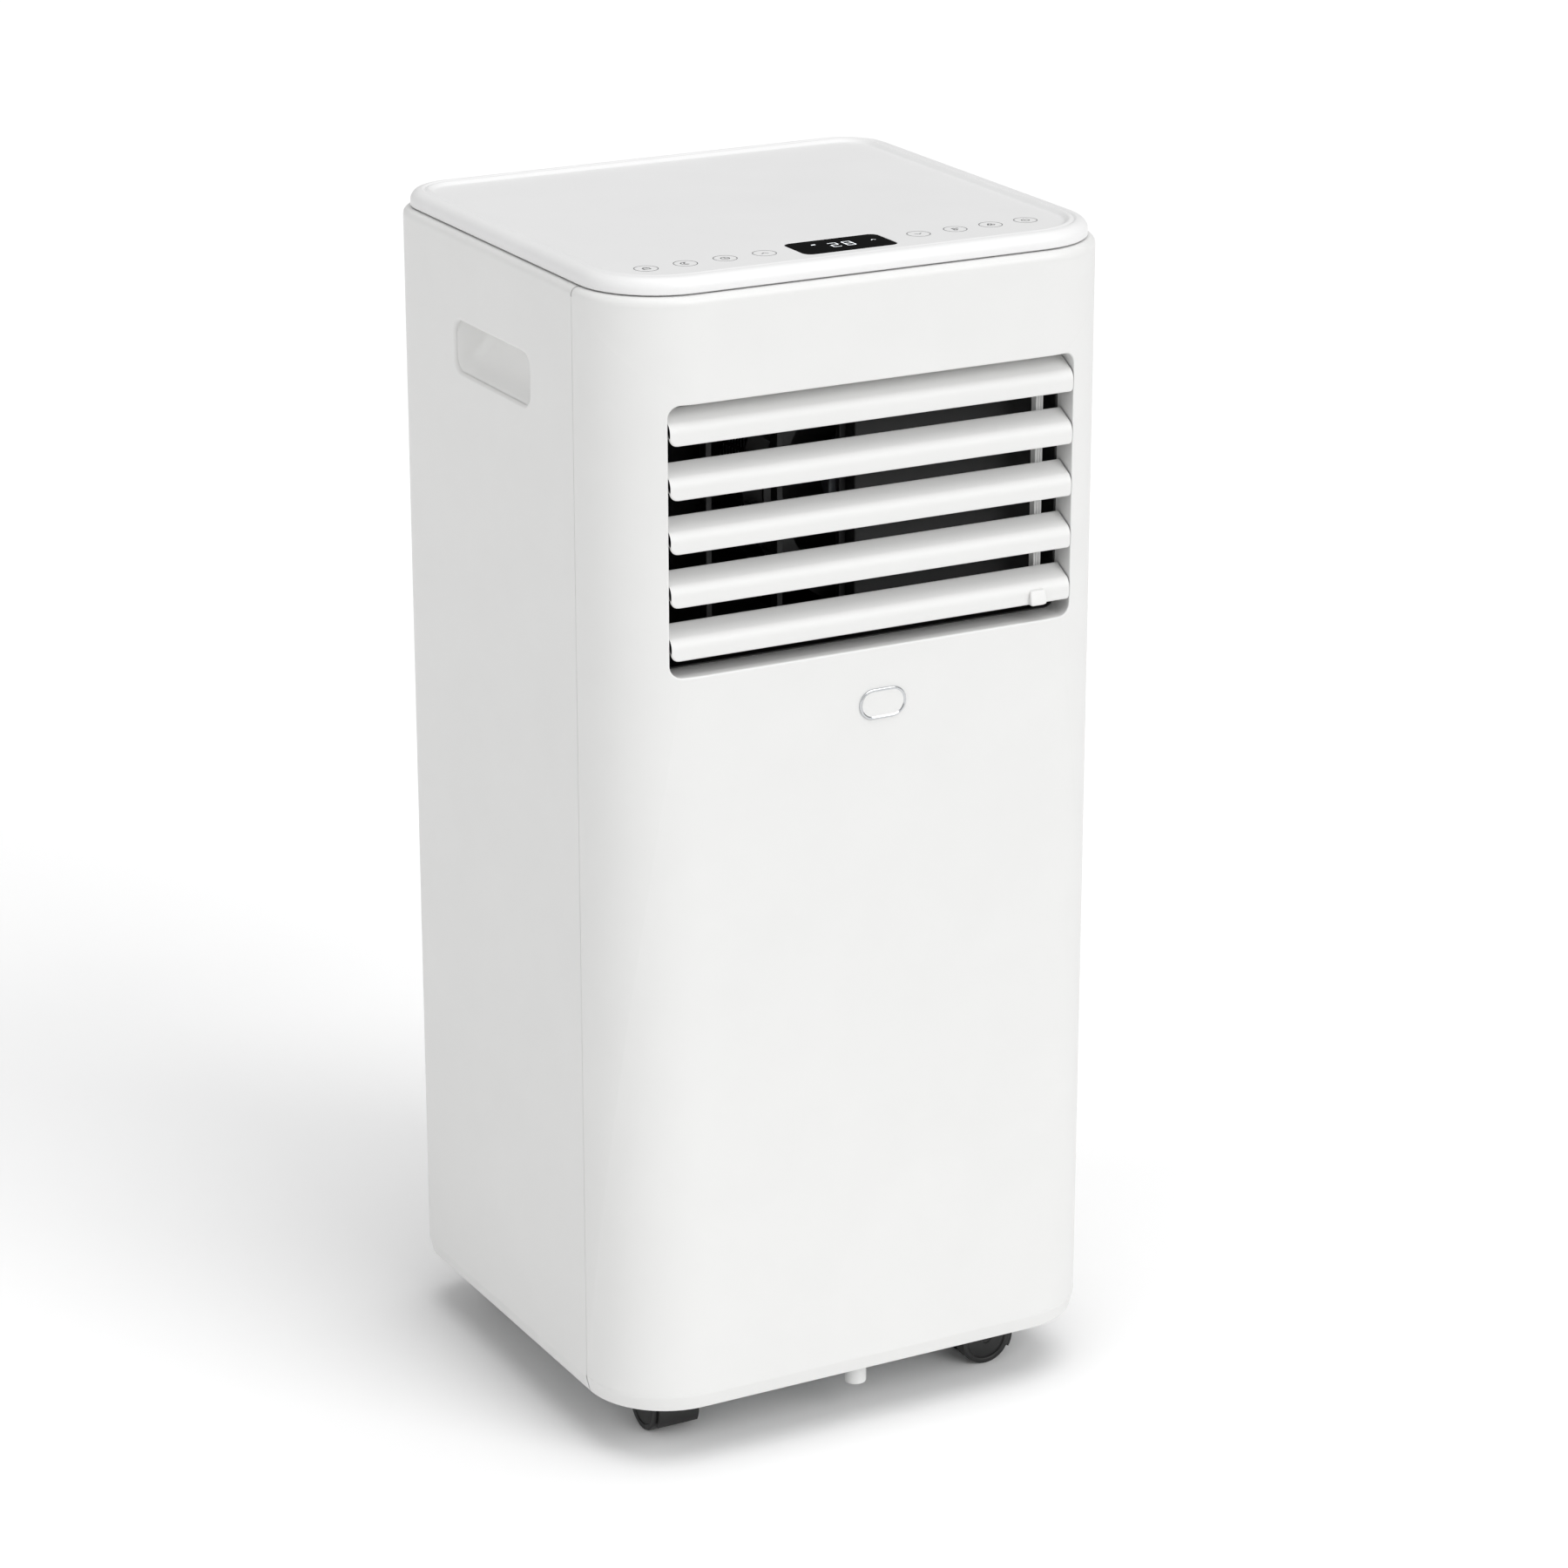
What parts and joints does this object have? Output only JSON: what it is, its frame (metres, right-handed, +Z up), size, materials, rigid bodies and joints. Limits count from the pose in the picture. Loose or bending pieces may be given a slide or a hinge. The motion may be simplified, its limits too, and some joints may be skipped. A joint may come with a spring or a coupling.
{
  "type": "portable air conditioner",
  "caption": "Upright rounded box on casters: linked front louvre, top touch panel, side grips, rear intakes and exhaust collar, with blowers, coils and compressor inside.",
  "frame": {"origin": "on the floor, under the middle of the cabinet's footprint", "axes": "+Z up, the front louvre faces -Y, +X is to the right as seen from the front"},
  "size_m": [0.322, 0.3024, 0.704],
  "materials": {
    "shell_white": "fine satin moulded ABS",
    "panel_white": "satin",
    "blade_white": "satin",
    "black_plastic": "fine grain",
    "caster_plastic": "satin nylon",
    "display_lens": "polished",
    "chrome": "polished",
    "grey_plastic": "moulded",
    "motor_steel": "semi gloss",
    "compressor_paint": "gloss",
    "shaft_steel": "turned",
    "fin_aluminium": "fin stock",
    "copper": "drawn copper",
    "galvanised": "galvanised",
    "pcb": "solder mask",
    "rubber": "moulded",
    "filter_net": "woven net",
    "foam": "float",
    "capacitor": "can",
    "screw": "zinc plated"
  },
  "bodies": {
    "cabinet": {"front_shell": "shell_white", "rear_shell": "shell_white", "top_lid": "panel_white", "display_window": "display_lens", "badge": "chrome", "base_pan": "grey_plastic", "handle_cup_left": "shell_white", "handle_cup_right": "shell_white", "outlet_duct": "black_plastic", "outlet_guard": "black_plastic", "evaporator_scroll": "black_plastic", "evaporator_motor": "motor_steel", "condenser_scroll": "black_plastic", "condenser_motor": "motor_steel", "evaporator_fins": "fin_aluminium", "evaporator_tubes": "copper", "condenser_fins": "fin_aluminium", "condenser_tubes": "copper", "mid_deck": "grey_plastic", "compressor": "compressor_paint", "compressor_mounts": "rubber", "accumulator": "compressor_paint", "refrigerant_pipes": "copper", "capillary_tube": "copper", "float_guide": "grey_plastic", "electrical_box": "galvanised", "run_capacitor": "capacitor", "main_pcb": "pcb", "display_pcb": "pcb", "exhaust_collar": "shell_white", "drain_spigot": "grey_plastic", "cord_gland": "rubber", "case_screws": "screw"},
    "blade_1": {"louvre_blade_1": "blade_white"},
    "blade_2": {"louvre_blade_2": "blade_white"},
    "blade_3": {"louvre_blade_3": "blade_white"},
    "blade_4": {"louvre_blade_4": "blade_white"},
    "blade_5": {"louvre_blade_5": "blade_white"},
    "link": {"louvre_link": "blade_white"},
    "cold_blower": {"evaporator_blower": "grey_plastic", "evaporator_shaft": "shaft_steel"},
    "hot_blower": {"condenser_blower": "grey_plastic", "condenser_shaft": "shaft_steel"},
    "upper_intake": {"upper_grille": "shell_white", "upper_filter": "filter_net"},
    "lower_intake": {"lower_grille": "shell_white", "lower_filter": "filter_net"},
    "float_body": {"float": "foam"},
    "spigot_plug_body": {"spigot_plug": "rubber"},
    "drain_plug": {"base_drain_plug": "grey_plastic"},
    "caster_fl_swivel": {"caster_fl": "caster_plastic"},
    "caster_fl_pair": {"caster_wheels_fl": "caster_plastic"},
    "caster_fr_swivel": {"caster_fr": "caster_plastic"},
    "caster_fr_pair": {"caster_wheels_fr": "caster_plastic"},
    "caster_rl_swivel": {"caster_rl": "caster_plastic"},
    "caster_rl_pair": {"caster_wheels_rl": "caster_plastic"},
    "caster_rr_swivel": {"caster_rr": "caster_plastic"},
    "caster_rr_pair": {"caster_wheels_rr": "caster_plastic"}
  },
  "joints": [
    {"name": "blade_5_tilt", "type": "hinge", "parent": "cabinet", "child": "blade_5", "pos_m": [0, -0.139, 0.4992], "axis": [1, 0, 0], "range_deg": [-15, 35]},
    {"name": "blade_1_tilt", "type": "hinge", "parent": "cabinet", "child": "blade_1", "pos_m": [0, -0.139, 0.6208], "axis": [1, 0, 0], "range_deg": [-15, 35]},
    {"name": "blade_2_tilt", "type": "hinge", "parent": "cabinet", "child": "blade_2", "pos_m": [0, -0.139, 0.5904], "axis": [1, 0, 0], "range_deg": [-15, 35]},
    {"name": "blade_3_tilt", "type": "hinge", "parent": "cabinet", "child": "blade_3", "pos_m": [0, -0.139, 0.56], "axis": [1, 0, 0], "range_deg": [-15, 35]},
    {"name": "blade_4_tilt", "type": "hinge", "parent": "cabinet", "child": "blade_4", "pos_m": [0, -0.139, 0.5296], "axis": [1, 0, 0], "range_deg": [-15, 35]},
    {"name": "link_pivot", "type": "hinge", "parent": "blade_5", "child": "link", "pos_m": [0.1158, -0.1275, 0.4982], "axis": [1, 0, 0], "range_deg": [-35, 15]},
    {"name": "evaporator_blower_spin", "type": "hinge", "parent": "cabinet", "child": "cold_blower", "pos_m": [0.044, -0.05, 0.55785], "axis": [0, 1, 0], "continuous": true},
    {"name": "condenser_blower_spin", "type": "hinge", "parent": "cabinet", "child": "hot_blower", "pos_m": [0.048, 0.04, 0.172], "axis": [0, 1, 0], "continuous": true},
    {"name": "upper_intake_pull", "type": "slide", "parent": "cabinet", "child": "upper_intake", "axis": [0, 1, 0], "range_m": [0, 0.06]},
    {"name": "lower_intake_pull", "type": "slide", "parent": "cabinet", "child": "lower_intake", "axis": [0, 1, 0], "range_m": [0, 0.06]},
    {"name": "float_rise", "type": "slide", "parent": "cabinet", "child": "float_body", "axis": [0, 0, 1], "range_m": [0, 0.012]},
    {"name": "spigot_plug_pull", "type": "slide", "parent": "cabinet", "child": "spigot_plug_body", "axis": [0, 1, 0], "range_m": [0, 0.03]},
    {"name": "base_drain_plug_pull", "type": "slide", "parent": "cabinet", "child": "drain_plug", "axis": [0, 0, -1], "range_m": [0, 0.014]},
    {"name": "caster_fl_turn", "type": "hinge", "parent": "cabinet", "child": "caster_fl_swivel", "pos_m": [-0.107, -0.097, 0.05], "axis": [0, 0, 1], "continuous": true},
    {"name": "caster_fl_roll", "type": "hinge", "parent": "caster_fl_swivel", "child": "caster_fl_pair", "pos_m": [-0.107, -0.091, 0.0165], "axis": [-1, 0, 0], "continuous": true},
    {"name": "caster_fr_turn", "type": "hinge", "parent": "cabinet", "child": "caster_fr_swivel", "pos_m": [0.107, -0.097, 0.05], "axis": [0, 0, 1], "continuous": true},
    {"name": "caster_fr_roll", "type": "hinge", "parent": "caster_fr_swivel", "child": "caster_fr_pair", "pos_m": [0.101, -0.097, 0.0165], "axis": [0, -1, 0], "continuous": true},
    {"name": "caster_rl_turn", "type": "hinge", "parent": "cabinet", "child": "caster_rl_swivel", "pos_m": [-0.107, 0.097, 0.05], "axis": [0, 0, 1], "continuous": true},
    {"name": "caster_rl_roll", "type": "hinge", "parent": "caster_rl_swivel", "child": "caster_rl_pair", "pos_m": [-0.10545, 0.1028, 0.0165], "axis": [-0.9659, 0.2588, 0], "continuous": true},
    {"name": "caster_rr_turn", "type": "hinge", "parent": "cabinet", "child": "caster_rr_swivel", "pos_m": [0.107, 0.097, 0.05], "axis": [0, 0, 1], "continuous": true},
    {"name": "caster_rr_roll", "type": "hinge", "parent": "caster_rr_swivel", "child": "caster_rr_pair", "pos_m": [0.104, 0.1022, 0.0165], "axis": [-0.866, -0.5, 0], "continuous": true}
  ],
  "couplings": [
    {"joint": "blade_1_tilt", "follows": "blade_5_tilt", "ratio": 1},
    {"joint": "blade_2_tilt", "follows": "blade_5_tilt", "ratio": 1},
    {"joint": "blade_3_tilt", "follows": "blade_5_tilt", "ratio": 1},
    {"joint": "blade_4_tilt", "follows": "blade_5_tilt", "ratio": 1},
    {"joint": "link_pivot", "follows": "blade_5_tilt", "ratio": -1}
  ]
}
